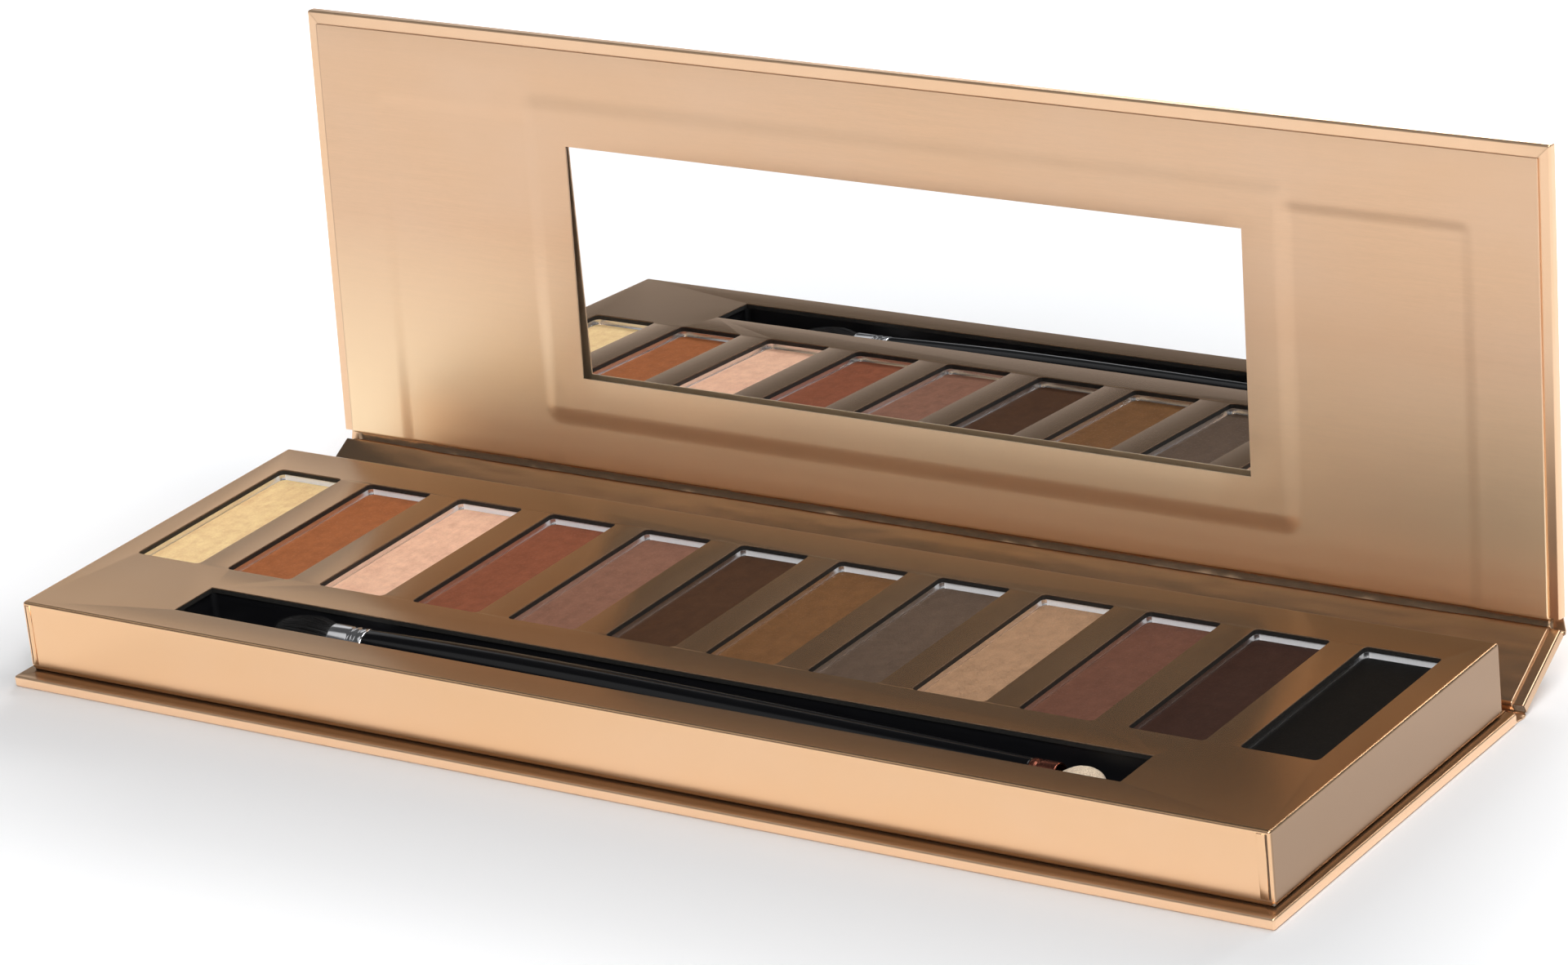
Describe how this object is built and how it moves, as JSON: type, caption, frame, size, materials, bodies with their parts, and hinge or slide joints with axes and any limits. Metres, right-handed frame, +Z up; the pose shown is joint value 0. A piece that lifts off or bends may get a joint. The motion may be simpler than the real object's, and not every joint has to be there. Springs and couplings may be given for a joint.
{
  "type": "eyeshadow palette",
  "caption": "Book-style cardboard eyeshadow palette: a hinged lid with an inset mirror over a tray with a row of pressed powders in metal pans and a double-ended brush in a well.",
  "frame": {"origin": "centre of the case base's underside, on the surface that the palette rests on", "axes": "+X along the palette to the right, +Y back towards the spine, +Z up"},
  "size_m": [0.2024, 0.084, 0.074],
  "materials": {
    "greyboard": "matte",
    "cover_paper": "satin",
    "tray_paper": "satin",
    "lining_paper": "satin",
    "infill_paper": "matte",
    "mirror_glass": "polished",
    "magnet": "satin",
    "black_card": "matte",
    "trough_plastic": "satin",
    "handle_lacquer": "gloss",
    "ferrule_metal": "polished",
    "bristle": "matte",
    "sponge_ferrule_metal": "satin",
    "foam": "matte",
    "pan_tin": "satin",
    "powder_pale_cream": "matte",
    "powder_copper_brown": "matte",
    "powder_peach_pink": "matte",
    "powder_red_brown": "matte",
    "powder_mauve_taupe": "matte",
    "powder_dark_brown": "matte",
    "powder_bronze": "matte",
    "powder_olive_grey": "matte",
    "powder_champagne": "matte",
    "powder_plum_brown": "matte",
    "powder_aubergine": "matte",
    "powder_black": "matte"
  },
  "bodies": {
    "base": {"base_board": "greyboard", "base_wrap": "cover_paper", "base_infill": "infill_paper", "base_liner": "lining_paper", "lower_crease": "cover_paper", "lower_groove_liner": "lining_paper", "tray_skin": "tray_paper", "tray_card": "black_card", "long_walls": "greyboard", "end_walls": "greyboard", "floor_board": "greyboard", "floor_spacers": "greyboard", "pan_riser": "greyboard", "pan_carrier": "black_card", "corner_blocks": "black_card", "tray_magnets": "magnet", "brush_trough": "trough_plastic", "pan_01": "pan_tin", "pan_02": "pan_tin", "pan_03": "pan_tin", "pan_04": "pan_tin", "pan_05": "pan_tin", "pan_06": "pan_tin", "pan_07": "pan_tin", "pan_08": "pan_tin", "pan_09": "pan_tin", "pan_10": "pan_tin", "pan_11": "pan_tin", "pan_12": "pan_tin", "powder_01": "powder_pale_cream", "powder_02": "powder_copper_brown", "powder_03": "powder_peach_pink", "powder_04": "powder_red_brown", "powder_05": "powder_mauve_taupe", "powder_06": "powder_dark_brown", "powder_07": "powder_bronze", "powder_08": "powder_olive_grey", "powder_09": "powder_champagne", "powder_10": "powder_plum_brown", "powder_11": "powder_aubergine", "powder_12": "powder_black"},
    "spine": {"spine_board": "greyboard", "spine_wrap": "cover_paper", "spine_liner": "lining_paper", "upper_crease": "cover_paper", "upper_groove_liner": "lining_paper"},
    "lid": {"lid_back_board": "greyboard", "lid_face_board": "greyboard", "lid_wrap": "cover_paper", "lid_liner": "lining_paper", "mirror": "mirror_glass", "lid_magnets": "magnet"},
    "brush": {"brush_handle": "handle_lacquer", "bristle_ferrule": "ferrule_metal", "bristles": "bristle", "sponge_ferrule": "sponge_ferrule_metal", "sponge_tip": "foam"}
  },
  "joints": [
    {"name": "spine_hinge", "type": "hinge", "parent": "base", "child": "spine", "pos_m": [0, 0.0336, 0], "axis": [1, 0, 0], "range_deg": [-28.3, 61.7], "deforming": ["lower_crease", "lower_groove_liner"]},
    {"name": "lid_hinge", "type": "hinge", "parent": "spine", "child": "lid", "pos_m": [0, 0.04632, 0.00685], "axis": [1, 0, 0], "range_deg": [-58.2, 31.8], "deforming": ["upper_crease", "upper_groove_liner"]},
    {"name": "brush_lift", "type": "slide", "parent": "base", "child": "brush", "axis": [0, 0, 1], "range_m": [0, 0.05]}
  ]
}
